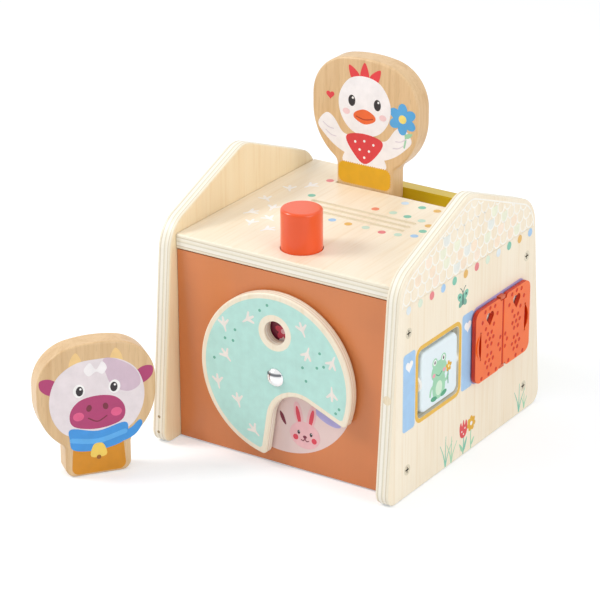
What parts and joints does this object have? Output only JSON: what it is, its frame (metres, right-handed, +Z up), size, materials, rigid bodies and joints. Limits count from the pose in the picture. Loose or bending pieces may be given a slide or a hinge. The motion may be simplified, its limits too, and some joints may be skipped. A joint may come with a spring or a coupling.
{
  "type": "pop-up animal toy",
  "caption": "Wooden pop-up animal toy: gable-sided box with push button, slot figure, turning picture disc, spinning tile and swinging shutters.",
  "frame": {"origin": "middle of the base board's underside, on the floor under the middle of the house", "axes": "+X to the right along the front, +Y from the front with the button and disc to the back with the slot, +Z up"},
  "size_m": [0.2206, 0.2783, 0.232],
  "materials": {
    "ply": "clear satin lacquer over birch plywood",
    "terracotta_paint": "satin terracotta paint on plywood",
    "yellow_paint": "satin olive yellow paint on plywood",
    "orange_paint": "satin orange-red paint on turned beech",
    "orange_shutter": "satin orange moulded plastic",
    "solid_wood": "clear satin lacquer over rubberwood",
    "mint_print": "mint printed face, cream printed border",
    "picture_print": "satin printed card",
    "tile_print": "pale blue printed block",
    "white_plastic": "matt white spacers",
    "raw_wood": "uncoated softwood inside the house",
    "steel": "zinc plated steel",
    "bright_steel": "bright dome head"
  },
  "bodies": {
    "house": {"left_side_panel": "ply", "right_side_panel": "ply", "front_panel": "terracotta_paint", "rear_panel": "yellow_paint", "top_deck": "ply", "base_board": "raw_wood", "slot_board": "raw_wood", "left_guide_strip": "raw_wood", "right_guide_strip": "raw_wood", "left_panel_screws": "steel", "right_panel_screws": "steel", "deck_and_base_dowels": "raw_wood", "edge_pins": "steel", "button_guide": "raw_wood", "return_spring": "steel", "left_lever_bracket": "raw_wood", "right_lever_bracket": "raw_wood", "lever_axle": "steel", "axle_caps": "steel", "axle_washers": "white_plastic", "picture_plate": "picture_print", "disc_spacer": "white_plastic", "pivot_bolt": "bright_steel", "pivot_washer": "steel", "pivot_nut": "steel", "spinner_rod": "steel", "spinner_spacers": "white_plastic", "axle_plug": "solid_wood", "shutter_pins": "steel", "shutter_lugs": "orange_shutter", "shutter_backing": "picture_print"},
    "button": {"push_button": "orange_paint", "button_stem": "raw_wood"},
    "lever": {"pop_lever": "raw_wood"},
    "launcher": {"launcher_plate": "raw_wood"},
    "slot_figure": {"slot_figure": "solid_wood"},
    "floor_figure": {"floor_figure": "solid_wood"},
    "disc": {"picture_disc": "mint_print"},
    "tile": {"spinner_tile": "tile_print"},
    "front_shutter": {"front_shutter": "orange_shutter"},
    "rear_shutter": {"rear_shutter": "orange_shutter"}
  },
  "joints": [
    {"name": "button_press", "type": "slide", "parent": "house", "child": "button", "axis": [0, 0, -1], "range_m": [0, 0.014], "stiffness_N_per_m": 220, "springref_m": -0.008, "deforming": ["return_spring"]},
    {"name": "lever_rock", "type": "hinge", "parent": "house", "child": "lever", "pos_m": [0, -0.01, 0.0677], "axis": [1, 0, 0], "range_deg": [0, 17.91]},
    {"name": "launcher_lift", "type": "slide", "parent": "house", "child": "launcher", "axis": [0, 0, 1], "range_m": [0, 0.0221]},
    {"name": "slot_figure_lift", "type": "slide", "parent": "launcher", "child": "slot_figure", "axis": [0, 0, 1], "range_m": [0, 0.05]},
    {"name": "floor_figure_lift", "type": "slide", "parent": "house", "child": "floor_figure", "axis": [0, 0, 1], "range_m": [0, 0.05]},
    {"name": "disc_turn", "type": "hinge", "parent": "house", "child": "disc", "pos_m": [0, -0.083, 0.0647], "axis": [0, -1, 0], "continuous": true},
    {"name": "tile_spin", "type": "hinge", "parent": "house", "child": "tile", "pos_m": [0.085, -0.0374, 0.0718], "axis": [0, 1, 0], "continuous": true},
    {"name": "front_shutter_swing", "type": "hinge", "parent": "house", "child": "front_shutter", "pos_m": [0.0924, 0.0362, 0.07245], "axis": [0, 0, 1], "range_deg": [0, 75]},
    {"name": "rear_shutter_swing", "type": "hinge", "parent": "house", "child": "rear_shutter", "pos_m": [0.0924, 0.0394, 0.07245], "axis": [0, 0, -1], "range_deg": [0, 75]}
  ],
  "couplings": [
    {"joint": "lever_rock", "follows": "button_press", "rad_per_m": 22.313},
    {"joint": "launcher_lift", "follows": "button_press", "ratio": 1.5778}
  ]
}
